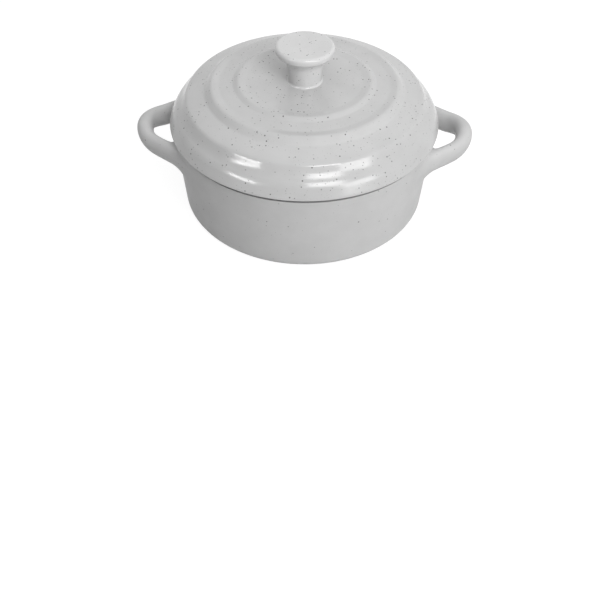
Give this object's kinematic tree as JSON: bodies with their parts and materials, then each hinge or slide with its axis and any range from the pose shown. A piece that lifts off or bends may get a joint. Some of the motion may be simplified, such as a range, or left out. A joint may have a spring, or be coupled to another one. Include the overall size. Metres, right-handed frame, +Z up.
{
  "type": "lidded casserole dish",
  "caption": "Small round stoneware casserole dish in pale speckled glaze, with loop handles on its sides and a stepped lift-off lid that carries a mushroom knob.",
  "frame": {"origin": "centre of the foot ring, on the surface that the dish stands on", "axes": "+Z up along the axis of the dish and the lid, X through the middles of the two handles"},
  "size_m": [0.133, 0.1046, 0.0653],
  "materials": {
    "speckled_glaze": "gloss"
  },
  "bodies": {
    "dish": {"dish_body": "speckled_glaze", "handle_left": "speckled_glaze", "handle_right": "speckled_glaze"},
    "lid": {"lid": "speckled_glaze", "lid_knob": "speckled_glaze"}
  },
  "joints": [
    {"name": "lid_lift", "type": "slide", "parent": "dish", "child": "lid", "axis": [0, 0, 1], "range_m": [0, 0.06]}
  ]
}
